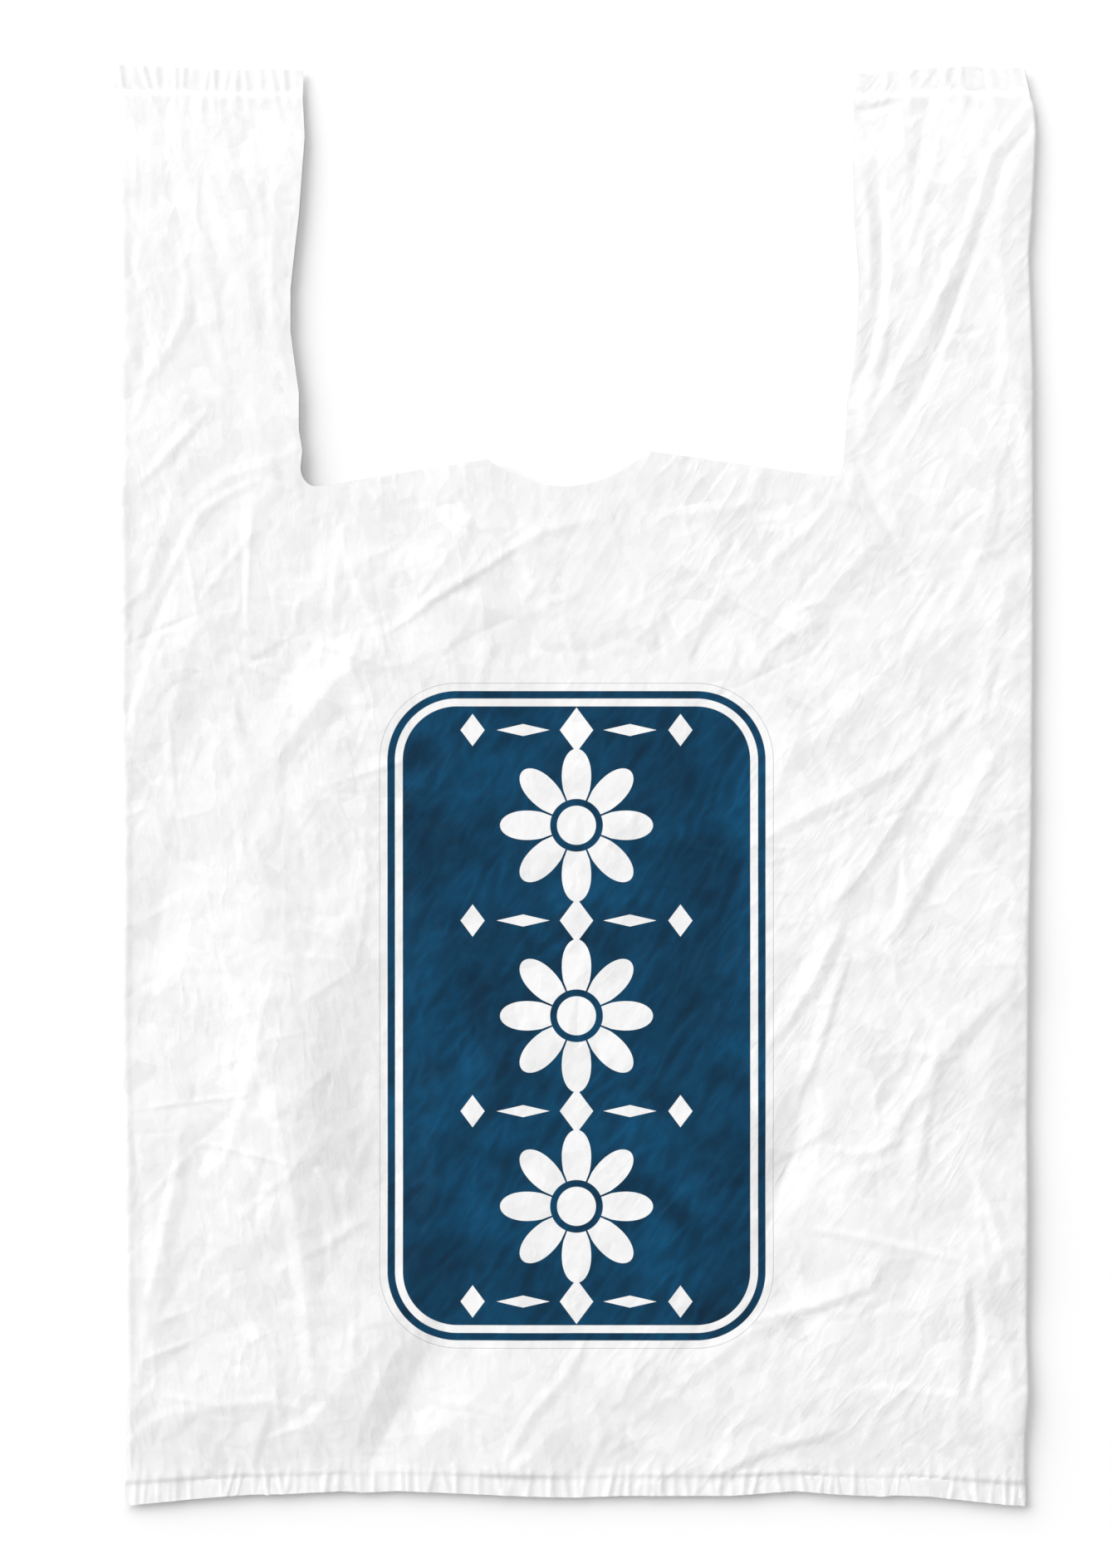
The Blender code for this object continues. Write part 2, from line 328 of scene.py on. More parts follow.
class HeightMap:
    """Heights of the front panel over the flat bag, on an even grid."""

    def __init__(self, size: BagSize, pitch: float = 0.5 * MM) -> None:
        """Make a level map over the whole bag.

        Args:
            size: the bag's sizes.
            pitch: distance between neighbouring places on the grid.
        """
        self.pitch = pitch
        columns = int(round(size.width / pitch)) + 1
        rows = int(round(size.length / pitch)) + 1
        self.x = np.linspace(-size.half_width, size.half_width, columns)
        self.y = np.linspace(-size.half_length, size.half_length, rows)
        self.height = np.zeros((rows, columns))

    def window(self, low: Point, high: Point) -> tuple[slice, slice]:
        """Return the rows and columns of the grid inside a box.

        Args:
            low: lowest x and y of the box.
            high: highest x and y.

        Returns:
            The rows and the columns, as slices.
        """
        rows = slice(*np.searchsorted(self.y, (low[1], high[1])))
        columns = slice(*np.searchsorted(self.x, (low[0], high[0])))
        return rows, columns

    def press(self, crease: Crease, softness: float = 0.15 * MM) -> None:
        """Press one crease into the map.

        Args:
            crease: the crease.
            softness: how far its edge is rounded off.
        """
        path = np.array(crease.path) * MM
        reach = (0.5 + max(crease.left, crease.right)) * MM
        rows, columns = self.window(tuple(path.min(0) - reach), tuple(path.max(0) + reach))
        x, y = np.meshgrid(self.x[columns], self.y[rows])
        runs = np.hypot(*(path[1:] - path[:-1]).T)
        whole, gone = runs.sum(), 0.0
        nearest = np.full(x.shape, np.inf)
        side = np.zeros(x.shape)
        share = np.zeros(x.shape)
        for start, end, run in zip(path, path[1:], runs):
            along_x, along_y = (end - start) / run
            along = (x - start[0]) * along_x + (y - start[1]) * along_y
            across = (x - start[0]) * along_y - (y - start[1]) * along_x
            held = np.clip(along, 0, run)
            away = np.hypot(along - held, across)
            closer = away < nearest
            nearest = np.where(closer, away, nearest)
            side = np.where(closer, across, side)
            share = np.where(closer, (gone + held) / whole, share)
            gone += run
        fade = np.sin(math.pi * np.clip(0.04 + 0.92 * share, 0, 1)) ** 0.6
        width = np.where(side < 0, crease.left, crease.right) * MM * (0.35 + 0.65 * fade)
        fall = np.clip(1 - (np.sqrt(nearest**2 + softness**2) - softness) / width, 0, 1)
        self.height[rows, columns] += crease.height * MM * fall * fade

    def swell(self, swell: Swell) -> None:
        """Lift or lower a broad patch of the map."""
        x, y = np.meshgrid(self.x - swell.middle[0] * MM, self.y - swell.middle[1] * MM)
        turn = math.radians(swell.turn)
        across = (x * math.cos(turn) + y * math.sin(turn)) / (swell.reach[0] * MM)
        along = (y * math.cos(turn) - x * math.sin(turn)) / (swell.reach[1] * MM)
        self.height += swell.height * MM * np.exp(-(across**2) - along**2)

    def facet(
        self, spacing: Point, turn: float, height: float, rng: np.random.Generator
    ) -> tuple[np.ndarray, np.ndarray]:
        """Return flat facets of random tilt, as in film that was crumpled into a ball.

        Args:
            spacing: usual width and length of a facet.
            turn: direction of its length, in degrees from +X.
            height: usual height of its corners.
            rng: source of the corners' places and heights.

        Returns:
            The facets' heights over the map, and the two ends of each of their edges.
        """
        reach = math.hypot(self.x[-1], self.y[-1]) + max(spacing)
        steps = [np.arange(-reach, reach, step) for step in spacing]
        across, along = np.meshgrid(*steps)
        across = across + rng.uniform(-0.46, 0.46, across.shape) * spacing[0]
        along = along + rng.uniform(-0.46, 0.46, along.shape) * spacing[1]
        cosine, sine = math.cos(math.radians(turn)), math.sin(math.radians(turn))
        x = (along * cosine + across * sine).ravel()
        y = (along * sine - across * cosine).ravel()
        margin = 2 * max(spacing)
        near = (np.abs(x) < self.x[-1] + margin) & (np.abs(y) < self.y[-1] + margin)
        places = [Vector(place) for place in zip(x[near], y[near])]
        heights = rng.normal(0, height, len(places))
        corners, edges, triangles, origins, _, _ = delaunay_2d_cdt(places, [], [], 0, 1e-7)
        at = np.array([tuple(c) for c in corners])
        lift = np.array([heights[o[0]] for o in origins])
        total = np.zeros_like(self.height)
        for triangle in triangles:
            self.lay_facet(total, at[list(triangle)], lift[list(triangle)])
        return total, at[np.array(edges)]

    def lay_facet(self, total: np.ndarray, at: np.ndarray, lift: np.ndarray) -> None:
        """Lay one flat triangle on the grid.

        Args:
            total: heights that it is laid over.
            at: the x and y of its three corners.
            lift: the height of each corner.
        """
        rows, columns = self.window(tuple(at.min(0)), tuple(at.max(0)))
        x, y = np.meshgrid(self.x[columns], self.y[rows])
        if x.size == 0:
            return
        (x0, y0), (x1, y1), (x2, y2) = at
        whole = (y1 - y2) * (x0 - x2) + (x2 - x1) * (y0 - y2)
        first = ((y1 - y2) * (x - x2) + (x2 - x1) * (y - y2)) / whole
        second = ((y2 - y0) * (x - x2) + (x0 - x2) * (y - y2)) / whole
        third = 1 - first - second
        inside = (first >= 0) & (second >= 0) & (third >= 0)
        flat = first * lift[0] + second * lift[1] + third * lift[2]
        total[rows, columns] = np.where(inside, flat, total[rows, columns])

    def soften(self, spread: float) -> None:
        """Round off the whole map a little.

        Args:
            spread: standard deviation of the rounding.
        """
        reach = int(math.ceil(3 * spread / self.pitch))
        steps = np.arange(-reach, reach + 1) * self.pitch
        weights = np.exp(-(steps**2) / (2 * spread**2))
        weights /= weights.sum()
        for axis in (0, 1):
            padded = np.pad(self.height, [(reach, reach) if a == axis else (0, 0) for a in (0, 1)], "edge")
            count = self.height.shape[axis]
            shifted = (np.take(padded, range(i, i + count), axis) for i in range(len(weights)))
            self.height = sum(w * part for w, part in zip(weights, shifted))

    def lowest(self, reach: float) -> "HeightMap":
        """Return a copy in which every place lies as low as the lowest one near it.

        Args:
            reach: how far along each axis counts as near.

        Returns:
            The copy.
        """
        low = copy(self)
        for axis in (0, 1):
            for _ in range(int(reach / self.pitch)):
                ahead = np.roll(low.height, 1, axis)
                behind = np.roll(low.height, -1, axis)
                low.height = np.minimum(low.height, np.minimum(ahead, behind))
        return low

    def at(self, x: np.ndarray, y: np.ndarray) -> np.ndarray:
        """Return the height at any places, from the four grid places round each.

        Args:
            x: places across the bag.
            y: places along the bag.

        Returns:
            The heights.
        """
        rows, columns = self.height.shape
        column = np.clip((x - self.x[0]) / (self.x[1] - self.x[0]), 0, columns - 1.001)
        row = np.clip((y - self.y[0]) / (self.y[1] - self.y[0]), 0, rows - 1.001)
        i, j = row.astype(int), column.astype(int)
        up, over = row - i, column - j
        low = self.height[i, j] * (1 - over) + self.height[i, j + 1] * over
        high = self.height[i + 1, j] * (1 - over) + self.height[i + 1, j + 1] * over
        return low * (1 - up) + high * up


def smooth(value: np.ndarray) -> np.ndarray:
    """Return a smooth step from 0 to 1 as the value goes from 0 to 1."""
    held = np.clip(value, 0, 1)
    return held * held * (3 - 2 * held)


@dataclass(frozen=True)
class FacetScale:
    """Facets of one size.

    Attributes:
        width: usual width of a facet, in millimetres.
        height: usual height of its corners, in millimetres.
        ridged: share of the facets' edges that are pinched into a ridge.
        ridge: lowest and highest ridge, in millimetres.
    """

    width: float
    height: float
    ridged: float
    ridge: Point


@dataclass(frozen=True)
class Grain:
    """The facets of one part of the bag.

    Attributes:
        turn: direction that they are drawn out in, in degrees from +X.
        stretch: how many times longer than wide they are.
        strength: their height, as a share of the usual one.
    """

    turn: float
    stretch: float
    strength: float


LEFT_GRAIN = Grain(106, 1.5, 1.0)
RIGHT_GRAIN = Grain(56, 1.9, 0.85)
HANDLE_GRAIN = Grain(88, 4.4, 0.34)
FACETS = (
    FacetScale(26, 0.38, 0.15, (0.08, 0.22)),
    FacetScale(12, 0.18, 0.32, (0.04, 0.15)),
    FacetScale(5.5, 0.055, 0.16, (0.03, 0.08)),
)


class Crumple:
    """The shape that use has pressed into the film."""

    SMALL_CREASES = 760
    SOFTNESS = 0.22 * MM  # how far every crease's edge is rounded
    UNDER_REACH = 6 * MM  # how far round a place the layers below keep under the front

    def __init__(self, size: BagSize) -> None:
        """Press every crease into a level map.

        Args:
            size: the bag's sizes.
        """
        self.size = size
        self.rng = np.random.default_rng(SEED)
        self.map = HeightMap(size)
        self.crush()
        self.scatter(self.SMALL_CREASES)
        handles = LEFT_HANDLE_CREASES + RIGHT_HANDLE_CREASES
        for crease in UPPER_CREASES + LOWER_CREASES + handles + SIDE_CREASES:
            self.map.press(crease)
        self.map.soften(self.SOFTNESS)
        for swell in SWELLS:
            self.map.swell(swell)
        self.under = self.map.lowest(self.UNDER_REACH)

    def crush(self) -> None:
        """Facet the film, each part of the bag along its own grain."""
        x, y = np.meshgrid(self.map.x, self.map.y)
        on_handle = smooth((y - self.size.corner_y + 25 * MM) / (60 * MM))
        on_right = smooth((x + 40 * MM) / (80 * MM))
        shares = (
            (LEFT_GRAIN, (1 - on_right) * (1 - on_handle)),
            (RIGHT_GRAIN, on_right * (1 - on_handle)),
            (HANDLE_GRAIN, on_handle),
        )
        for grain, share in shares:
            for scale in FACETS:
                width = scale.width * MM
                spacing = (width / math.sqrt(grain.stretch), width * math.sqrt(grain.stretch))
                height = scale.height * grain.strength * MM
                heights, edges = self.map.facet(spacing, grain.turn, height, self.rng)
                self.map.height += heights * share
                self.pinch(edges, scale, grain.strength, share)

    def pinch(self, edges: np.ndarray, scale: FacetScale, strength: float, share: np.ndarray) -> None:
        """Pinch some of the facets' edges into ridges and valleys.

        Args:
            edges: the two ends of each edge.
            scale: the facets' size.
            strength: the ridges' height, as a share of the usual one.
            share: how much of the film each place of the map gives to these facets.
        """
        chosen = self.rng.random(len(edges)) < scale.ridged
        for start, end in edges[chosen]:
            middle = (start + end) / 2
            row = np.searchsorted(self.map.y, middle[1])
            column = np.searchsorted(self.map.x, middle[0])
            height = self.rng.uniform(*scale.ridge) * self.rng.choice((1, 1, -1))
            left, right = np.exp(self.rng.uniform(math.log(0.5), math.log(2.6), 2))
            if not (0 < row < len(self.map.y) and 0 < column < len(self.map.x)) or share[row, column] < 0.25:
                continue
            path = (tuple(start / MM), tuple(end / MM))
            self.map.press(Crease(path, height * strength * share[row, column], left, right), 0.2 * MM)

    def grain(self, x: float, y: float) -> float:
        """Return the usual direction of the creases at a place, in degrees from +X.

        Args:
            x: place across the bag.
            y: place along the bag.

        Returns:
            The direction.
        """
        lean = 35 * math.tanh(x / (50 * MM))
        if y > self.size.corner_y:
            lean *= 0.4
        return 90 - lean

    def scatter(self, count: int) -> None:
        """Press small random creases along the grain of the pull.

        Args:
            count: number of creases.
        """
        size = self.size
        for _ in range(count):
            x = self.rng.uniform(-size.half_width, size.half_width)
            y = self.rng.uniform(-size.half_length, size.half_length)
            stray = self.rng.normal(0, 28 if y < size.corner_y else 10)
            turn = math.radians(self.grain(x, y) + stray)
            run = self.rng.uniform(4, 20) * (1.8 if y > size.corner_y else 1.0)
            bend = self.rng.normal(0, 0.12) * run
            ahead = (math.cos(turn) * run / 2, math.sin(turn) * run / 2)
            aside = (-math.sin(turn) * bend, math.cos(turn) * bend)
            middle = (x / MM + aside[0], y / MM + aside[1])
            start = (x / MM - ahead[0], y / MM - ahead[1])
            end = (x / MM + ahead[0], y / MM + ahead[1])
            height = 0.22 * self.rng.uniform(0.2, 1) ** 1.8 * self.rng.choice((1, 1, -1))
            left, right = np.exp(self.rng.uniform(math.log(0.9), math.log(4.5), 2))
            self.map.press(Crease((start, middle, end), height, left, right), 0.25 * MM)


@dataclass(frozen=True)
class EdgeLine:
    """How far one edge of the bag lies from its nominal line, in millimetres.

    Attributes:
        places: places along the edge.
        offsets: how far the edge is off its line at each place.
        reach: how far into the bag the film follows the edge.
    """

    places: tuple[float, ...]
    offsets: tuple[float, ...]
    reach: float

    def pull(self, along: np.ndarray, away: np.ndarray) -> np.ndarray:
        """Return how far the film is pulled with the edge.

        Args:
            along: places along the edge, in metres.
            away: distances from the edge, in metres.

        Returns:
            The pull, in metres.
        """
        offset = np.interp(along / MM, self.places, self.offsets) * MM
        return offset * np.exp(-np.maximum(away, 0) / (self.reach * MM))


LEFT_SIDE = EdgeLine(
    (-250, -226, -189, -160, -126, -93, -60, -16, 0, 90, 150, 200, 245),
    (1.6, 1.5, 1.1, 0.8, 0.5, -0.4, -0.1, 0.2, -0.6, -1.0, -1.3, -1.4, -2.1),
    24,
)
RIGHT_SIDE = EdgeLine(
    (-250, -237, -227, -210, -189, -148, -115, -49, -16, 56, 143, 162, 184, 199, 227, 236, 240, 250),
    (-1.3, -1.9, -1.9, -0.5, -1.1, -0.8, -1.1, -0.5, 0.4, 1.0, 1.0, 0.4, -0.5, 0.7, 2.1, 1.5, 0.1, -1.9),
    24,
)
LEFT_HANDLE_INNER = EdgeLine(
    (104, 110, 116, 123, 136, 148, 157, 172, 186, 198, 225, 240, 250),
    (2.4, 2.1, 2.7, 1.5, 1.5, -0.2, -1.4, -1.4, 0.1, 1.5, 3.5, 2.8, 3.2),
    16,
)
RIGHT_HANDLE_INNER = EdgeLine(
    (104, 111, 123, 133, 147, 169, 179, 195, 218, 230, 250),
    (-3.5, -3.4, -2.7, -2.4, 0.2, 1.7, 1.7, 0.2, -0.6, -0.4, 0.5),
    16,
)
MOUTH_EDGE = EdgeLine(
    (-97, -60, -31, -20, 0, 14, 26, 50, 77, 92, 97),
    (0.0, -0.5, -1.1, -0.4, 0.0, 0.8, 1.8, 2.0, 2.6, 3.4, 3.2),
    20,
)
LEFT_HANDLE_TOP = EdgeLine((-160, -130, -115, -108, -94), (0.0, -1.5, -2.3, -1.7, -2.0), 14)
RIGHT_HANDLE_TOP = EdgeLine(
    (94, 103, 110, 116, 125, 141, 148, 156, 160), (-3.2, -3.5, -2.3, -2.3, -1.2, -0.6, -1.7, -1.2, -2.4), 14
)
BOTTOM_EDGE = EdgeLine(
    (-158, -142, -131, -123, -116, -107, -80, -74, -61, -40, -15)
    + (0, 16, 54, 77, 89, 106, 117, 129, 140, 151, 158),
    (0.0, 1.5, 2.6, 3.2, 4.1, 3.8, 5.2, 4.6, 5.2, 4.3, 3.2)
    + (2.9, 3.5, 3.5, 5.2, 4.1, 3.2, 4.1, 2.6, 1.5, 0.3, 0.0),
    22,
)


class Outline:
    """Where the flat film lies on the floor, with the uneven edges of a used bag."""

    def __init__(self, size: BagSize) -> None:
        """Keep the bag's sizes.

        Args:
            size: the bag's sizes.
        """
        self.size = size

    def place(self, x: np.ndarray, y: np.ndarray) -> tuple[np.ndarray, np.ndarray]:
        """Return where places of the even bag lie on the uneven one.

        Args:
            x: places across the even bag.
            y: places along it.

        Returns:
            The places across and along.
        """
        size = self.size
        over = smooth((y - size.corner_y + 18 * MM) / (18 * MM))
        under = 1 - smooth((y - size.corner_y - 14 * MM) / (16 * MM))
        on_left = np.where(x < 0, over, 0)
        on_right = np.where(x > 0, over, 0)
        shift_x = LEFT_SIDE.pull(y, x + size.half_width) + RIGHT_SIDE.pull(y, size.half_width - x)
        shift_x += on_left * LEFT_HANDLE_INNER.pull(y, np.abs(-size.mouth_half_width - x))
        shift_x += on_right * RIGHT_HANDLE_INNER.pull(y, np.abs(x - size.mouth_half_width))
        notch = np.exp(-((x / (45 * MM)) ** 4)) * smooth((y - size.corner_y + 25 * MM) / (25 * MM))
        shift_x -= 2.6 * MM * notch
        inner = smooth((size.mouth_half_width + 12 * MM - np.abs(x)) / (12 * MM))
        shift_y = inner * under * MOUTH_EDGE.pull(x, np.abs(size.mouth_line(x) - y))
        to_top = size.half_length - y
        top = np.where(x < 0, LEFT_HANDLE_TOP.pull(x, to_top), RIGHT_HANDLE_TOP.pull(x, to_top))
        shift_y += top + BOTTOM_EDGE.pull(x, y + size.half_length)
        return x + shift_x, y + shift_y


class Puckers:
    """Fine gathers across a weld, where the heat has drawn the film in."""

    def __init__(self, rng: np.random.Generator, low: float, high: float, gap: Point, height: float) -> None:
        """Choose where the gathers are.

        Args:
            rng: source of their places and heights.
            low: lowest place across the bag.
            high: highest place.
            gap: shortest and longest distance between two gathers, in millimetres.
            height: usual height of one, in millimetres.
        """
        places = [low]
        while places[-1] < high:
            places.append(places[-1] + rng.uniform(*gap) * MM)
        self.places = np.array(places)
        self.heights = rng.uniform(0.35, 1.3, len(places)) * height * MM
        self.widths = rng.uniform(0.22, 0.36, len(places)) * np.mean(gap) * MM
        self.leans = rng.normal(0, 0.12, len(places))

    def at(self, x: np.ndarray, away: np.ndarray) -> np.ndarray:
        """Return the height of the gathers.

        Args:
            x: places across the bag.
            away: distances along the bag from the weld's inner line.

        Returns:
            The heights.
        """
        total = np.zeros_like(x)
        for place, height, width, lean in zip(self.places, self.heights, self.widths, self.leans):
            across = np.abs(x - place - lean * away)
            total += height * np.exp(-((across / width) ** 1.5))
        return total


class FilmShape:
    """Heights of every layer of the folded film over the floor."""

    FLOOR_GAP = 0.05 * MM
    BODY_HEIGHT = 4.2 * MM
    HANDLE_HEIGHT = 3.7 * MM
    WELD_HEIGHT = 2.7 * MM
    LOWEST = 0.7 * MM

    def __init__(self, size: BagSize) -> None:
        """Crumple the film and gather its welds.

        Args:
            size: the bag's sizes.
        """
        self.size = size
        self.crumple = Crumple(size)
        rng = np.random.default_rng(SEED + 1)
        self.bottom = Puckers(rng, -size.half_width, size.half_width, (1.9, 5.2), 0.55)
        self.left_top = Puckers(rng, -size.half_width, -size.mouth_half_width, (2.0, 4.8), 0.5)
        self.right_top = Puckers(rng, size.mouth_half_width, size.half_width, (4.5, 11.0), 0.5)

    def welded(self, y: np.ndarray) -> np.ndarray:
        """Return how far the layers are pressed together, from 0 to 1, at places along the bag."""
        size = self.size
        low = 1 - smooth((y + size.half_length - size.bottom_weld) / (2.2 * MM))
        high = 1 - smooth((size.half_length - size.handle_weld - y) / (2.2 * MM))
        return np.maximum(low, high)

    def front(self, x: np.ndarray, y: np.ndarray, creases: HeightMap) -> np.ndarray:
        """Return the height of the front panel.

        Args:
            x: places across the even bag.
            y: places along it.
            creases: what use has pressed into it.

        Returns:
            The heights over the floor.
        """
        size = self.size
        to_bottom = y + size.half_length
        to_top = size.half_length - y
        welded = self.welded(y)
        on_handle = smooth((y - size.corner_y) / (60 * MM))
        body = self.BODY_HEIGHT + (self.HANDLE_HEIGHT - self.BODY_HEIGHT) * on_handle
        ease = smooth(np.minimum(to_bottom - size.bottom_weld, to_top - size.handle_weld) / (32 * MM))
        level = self.WELD_HEIGHT + (body - self.WELD_HEIGHT) * (0.12 + 0.88 * ease) * (1 - welded)
        creased = creases.at(x, y) * (1 - 0.75 * welded)
        side = size.half_width - np.abs(x)
        roll = 1 - 0.07 * np.exp(-((np.maximum(side, 0) / (2.8 * MM)) ** 2))
        height = (level + creased) * roll
        height += self.gathers(x, to_bottom, to_top)
        groove_low = np.exp(-(((to_bottom - size.bottom_weld) / (0.9 * MM)) ** 2))
        groove_high = np.exp(-(((to_top - size.handle_weld) / (0.9 * MM)) ** 2))
        height -= 0.05 * MM * (groove_low + groove_high)
        return np.maximum(height, self.LOWEST + 0.25 * (height - self.LOWEST))

    def gathers(self, x: np.ndarray, to_bottom: np.ndarray, to_top: np.ndarray) -> np.ndarray:
        """Return the height that the welds' gathers add.

        Args:
            x: places across the bag.
            to_bottom: distances from the bottom edge.
            to_top: distances from the handles' tops.

        Returns:
            The heights.
        """
        size = self.size
        low_in = to_bottom - size.bottom_weld
        high_in = to_top - size.handle_weld
        low_fade = np.where(low_in < 0, 1.0, np.exp(-low_in / (3.2 * MM)))
        high_fade = np.where(high_in < 0, 1.0, np.exp(-high_in / (5.5 * MM)))
        tops = np.where(x < 0, self.left_top.at(x, -high_in), self.right_top.at(x, -high_in))
        return self.bottom.at(x, low_in) * low_fade + tops * high_fade

    def lift(self, share: np.ndarray, x: np.ndarray, y: np.ndarray) -> np.ndarray:
        """Return the height of any layer.

        Args:
            share: the layer's share of the bag's thickness, as in Leaf.
            x: places across the even bag.
            y: places along it.

        Returns:
            The heights over the floor.
        """
        closed = 0.88 + (share - 1) * 0.10
        held = share + (closed - share) * self.welded(y)
        front = self.front(x, y, self.crumple.map)
        under = self.front(x, y, self.crumple.under)
        return self.FLOOR_GAP + (front + (under - front) * smooth((1 - share) / 0.2)) * held


@dataclass(frozen=True)
class TubeGrid:
    """How finely the film is divided.

    Attributes:
        front_columns: divisions across the front panel.
        back_columns: divisions across the back panel.
        gusset_columns: divisions across one leaf of a gusset.
        fold_columns: divisions round a fold.
        rows: divisions along the bag.
        triangles: how many triangles are kept where the film bends most.
    """

    front_columns: int = 420
    back_columns: int = 30
    gusset_columns: int = 7
    fold_columns: int = 4
    rows: int = 664
    triangles: int = 196000


class FilmTube:
    """The bag's film: a flat sheet, die-cut and folded round into a gusseted tube."""

    NAME = "film"

    def __init__(self, size: BagSize, grid: TubeGrid) -> None:
        """Work out the section of the folded tube.

        Args:
            size: the bag's sizes.
            grid: how finely the film is divided.
        """
        self.size = size
        self.grid = grid
        self.run, self.across, self.share = self.section()
        self.girth = self.run[-1] - self.run[0]

    def section(self) -> tuple[np.ndarray, np.ndarray, np.ndarray]:
        """Return the section from the back panel's middle once round to it again.

        Returns:
            For each column, its run round the film from the front's middle, its place across the
            bag, and its share of the bag's thickness.
        """
        size, grid = self.size, self.grid
        edge = size.half_width - size.fold
        inner = size.half_width - size.gusset
        half = [(x, Leaf.FRONT.value) for x in np.linspace(0, edge, grid.front_columns // 2 + 1)]
        half += self.fold(edge, 1, Leaf.FRONT, Leaf.FRONT_GUSSET)
        half += [(x, Leaf.FRONT_GUSSET.value) for x in np.linspace(edge, inner, grid.gusset_columns + 1)]
        half += self.fold(inner, -1, Leaf.FRONT_GUSSET, Leaf.BACK_GUSSET)
        half += [(x, Leaf.BACK_GUSSET.value) for x in np.linspace(inner, edge, grid.gusset_columns + 1)]
        half += self.fold(edge, 1, Leaf.BACK_GUSSET, Leaf.BACK)
        half += [(x, Leaf.BACK.value) for x in np.linspace(edge, 0, grid.back_columns // 2 + 1)]
        across, share = np.array(half).T
        steps = np.hypot(np.diff(across), np.diff(share) * FilmShape.BODY_HEIGHT)
        run = np.concatenate([[0], np.cumsum(steps)])
        return (
            np.concatenate([-run[:0:-1], run]),
            np.concatenate([-across[:0:-1], across]),
            np.concatenate([share[:0:-1], share]),
        )

    def fold(self, middle: float, outwards: int, upper: Leaf, lower: Leaf) -> list[Point]:
        """Return the columns round one fold, without its first and last.

        Args:
            middle: place across the bag where the fold starts.
            outwards: 1 where it bulges away from the bag's middle, -1 where towards it.
            upper: the layer above the fold.
            lower: the layer below it.

        Returns:
            The place across and the share of the thickness of each column.
        """
        between = (upper.value + lower.value) / 2
        half = (upper.value - lower.value) / 2
        columns = self.grid.fold_columns
        angles = [math.pi / 2 - math.pi * i / columns for i in range(1, columns)]
        reach = outwards * self.size.fold
        return [(middle + reach * math.cos(a), between + half * math.sin(a)) for a in angles]

    def sheet(self) -> bmesh.types.BMesh:
        """Return the flat film, with x the run round it and y the place along it."""
        shape = bmesh.new()
        columns, rows = len(self.run) - 1, self.grid.rows
        bmesh.ops.create_grid(shape, x_segments=columns, y_segments=rows, size=1)
        for vert in shape.verts:
            column = int(round((vert.co.x + 1) / 2 * columns))
            vert.co.x = self.run[column]
            vert.co.y *= self.size.half_length
        return shape

    def die_cut(self, shape: bmesh.types.BMesh) -> None:
        """Cut the mouth out of the flat film, along its true line.

        Args:
            shape: the flat film.
        """
        places = np.array([vert.co[:2] for vert in shape.verts])
        gone = self.size.cut_away(np.interp(places[:, 0], self.run, self.across), places[:, 1])
        shape.verts.index_update()
        crossing = [e for e in shape.edges if gone[e.verts[0].index] != gone[e.verts[1].index]]
        starts = np.array([e.verts[0].co[:2] for e in crossing])
        ends = np.array([e.verts[1].co[:2] for e in crossing])
        gone_first = np.array([gone[e.verts[0].index] for e in crossing])
        low, high = np.zeros(len(crossing)), np.ones(len(crossing))
        for _ in range(14):
            middle = (low + high) / 2
            at = starts + (ends - starts) * middle[:, None]
            same = self.size.cut_away(np.interp(at[:, 0], self.run, self.across), at[:, 1]) == gone_first
            low, high = np.where(same, middle, low), np.where(same, high, middle)
        cuts = [
            bmesh.utils.edge_split(edge, edge.verts[0], float(share))[1]
            for edge, share in zip(crossing, (low + high) / 2)
        ]
        bmesh.ops.connect_verts(shape, verts=cuts)
        centres = np.array([face.calc_center_median()[:2] for face in shape.faces])
        outside = self.size.cut_away(np.interp(centres[:, 0], self.run, self.across), centres[:, 1])
        waste = [face for face, cut in zip(shape.faces, outside) if cut]
        bmesh.ops.delete(shape, geom=waste, context="FACES")

    def build(self, shape_of: FilmShape, outline: Outline) -> bpy.types.Object:
        """Make the film: lay out the sheet, cut it, fold it and crumple it.

        Args:
            shape_of: heights of the layers.
            outline: where the film lies on the floor.

        Returns:
            The film's object.
        """
        shape = self.sheet()
        self.die_cut(shape)
        mesh = bpy.data.meshes.new(self.NAME)
        shape.to_mesh(mesh)
        shape.free()
        flat = np.empty(3 * len(mesh.vertices))
        mesh.vertices.foreach_get("co", flat)
        run, y, _ = flat.reshape(-1, 3).T
        x = np.interp(run, self.run, self.across)
        share = np.interp(run, self.run, self.share)
        place_x, place_y = outline.place(x, y)
        height = shape_of.lift(share, x, y)
        self.lay_out(mesh, run, y)
        mesh.vertices.foreach_set("co", np.stack([place_x, place_y, height], 1).ravel())
        mesh.shade_smooth()
        made = bpy.data.objects.new(self.NAME, mesh)
        bpy.context.scene.collection.objects.link(made)
        self.thin_out(made)
        return made

    def lay_out(self, mesh: bpy.types.Mesh, run: np.ndarray, along: np.ndarray) -> None:
        """Give the film a map of its own flat shape.

        Args:
            mesh: the film.
            run: each vertex's run round the film.
            along: its place along the bag.
        """
        corners = np.empty(len(mesh.loops), int)
        mesh.loops.foreach_get("vertex_index", corners)
        places = np.stack([run, along], 1)[corners] / self.girth + 0.5
        mesh.uv_layers.new(name="flat").data.foreach_set("uv", places.ravel())

